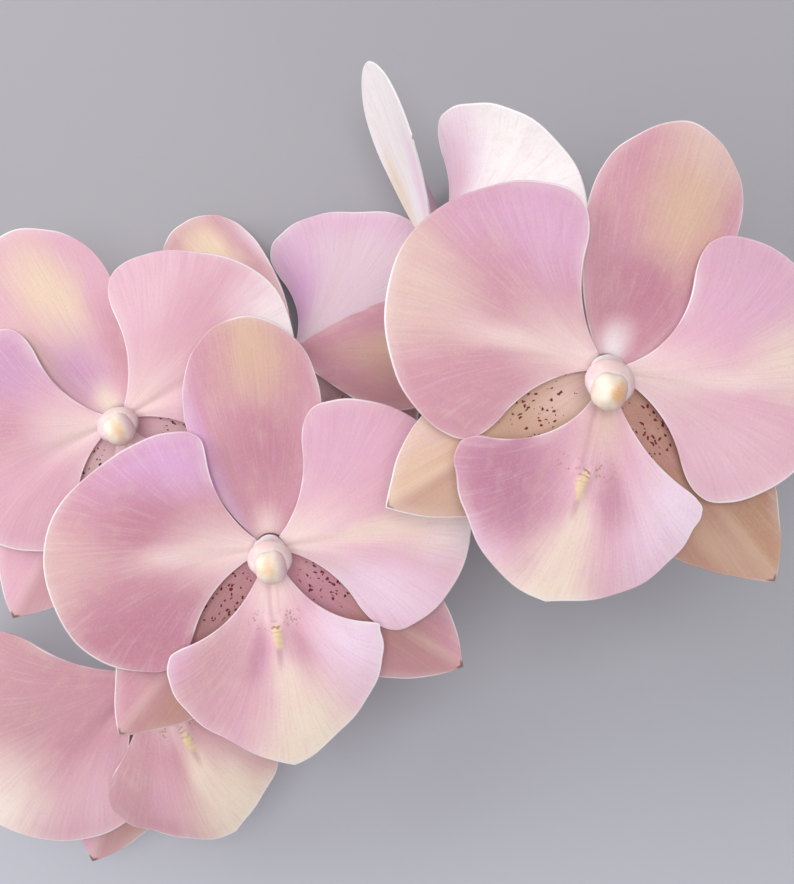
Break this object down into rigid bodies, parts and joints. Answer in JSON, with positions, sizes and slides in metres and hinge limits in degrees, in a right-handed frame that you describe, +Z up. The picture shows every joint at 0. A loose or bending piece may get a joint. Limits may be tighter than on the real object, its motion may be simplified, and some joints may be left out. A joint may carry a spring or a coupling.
{
  "type": "moth orchid stem",
  "caption": "Cut flower stem lying on its side: a long arching stalk with a spray of large open orchid blooms, each with broad rounded petals, a big lip and a small column.",
  "frame": {"origin": "middle of the footprint's bounding box, on the table that the cut stem lies on", "axes": "+X runs from the blooms towards the cut end of the stalk, +Y towards the side that the upper sepals point to, +Z up off the table"},
  "size_m": [0.3712, 0.194, 0.1142],
  "materials": {
    "sepal_pink": "soft satin petal tissue, peach centre with pink margins and fine veins",
    "left_sepal_pink": "soft satin petal tissue, tan centre with maroon dots near its root",
    "right_sepal_pink": "soft satin petal tissue, tan centre with maroon dots near its root",
    "left_petal_pink": "soft satin petal tissue, fine radiating veins and a pale rim",
    "right_petal_pink": "soft satin petal tissue, fine radiating veins and a pale rim",
    "lip_pink": "soft satin petal tissue, cream band and yellow heart",
    "column_white": "waxy, pinkish white",
    "anther_cap_cream": "waxy, cream with a yellow patch",
    "stem_green": "waxy green"
  },
  "bodies": {
    "root": {"bloom_1_dorsal_sepal": "sepal_pink", "bloom_1_left_sepal": "left_sepal_pink", "bloom_1_right_sepal": "right_sepal_pink", "bloom_1_left_petal": "left_petal_pink", "bloom_1_right_petal": "right_petal_pink", "bloom_1_lip": "lip_pink", "bloom_1_column": "column_white", "bloom_1_anther_cap": "anther_cap_cream", "bloom_2_dorsal_sepal": "sepal_pink", "bloom_2_left_sepal": "left_sepal_pink", "bloom_2_right_sepal": "right_sepal_pink", "bloom_2_left_petal": "left_petal_pink", "bloom_2_right_petal": "right_petal_pink", "bloom_2_lip": "lip_pink", "bloom_2_column": "column_white", "bloom_2_anther_cap": "anther_cap_cream", "bloom_3_dorsal_sepal": "sepal_pink", "bloom_3_left_sepal": "left_sepal_pink", "bloom_3_right_sepal": "right_sepal_pink", "bloom_3_left_petal": "left_petal_pink", "bloom_3_right_petal": "right_petal_pink", "bloom_3_lip": "lip_pink", "bloom_3_column": "column_white", "bloom_3_anther_cap": "anther_cap_cream", "bloom_4_dorsal_sepal": "sepal_pink", "bloom_4_left_sepal": "left_sepal_pink", "bloom_4_right_sepal": "right_sepal_pink", "bloom_4_left_petal": "left_petal_pink", "bloom_4_right_petal": "right_petal_pink", "bloom_4_lip": "lip_pink", "bloom_4_column": "column_white", "bloom_4_anther_cap": "anther_cap_cream", "bloom_5_dorsal_sepal": "sepal_pink", "bloom_5_left_sepal": "left_sepal_pink", "bloom_5_right_sepal": "right_sepal_pink", "bloom_5_left_petal": "left_petal_pink", "bloom_5_right_petal": "right_petal_pink", "bloom_5_lip": "lip_pink", "bloom_5_column": "column_white", "bloom_5_anther_cap": "anther_cap_cream", "bloom_6_dorsal_sepal": "sepal_pink", "bloom_6_left_sepal": "left_sepal_pink", "bloom_6_right_sepal": "right_sepal_pink", "bloom_6_left_petal": "left_petal_pink", "bloom_6_right_petal": "right_petal_pink", "bloom_6_lip": "lip_pink", "bloom_6_column": "column_white", "bloom_6_anther_cap": "anther_cap_cream", "flower_stem": "stem_green"}
  },
  "joints": []
}
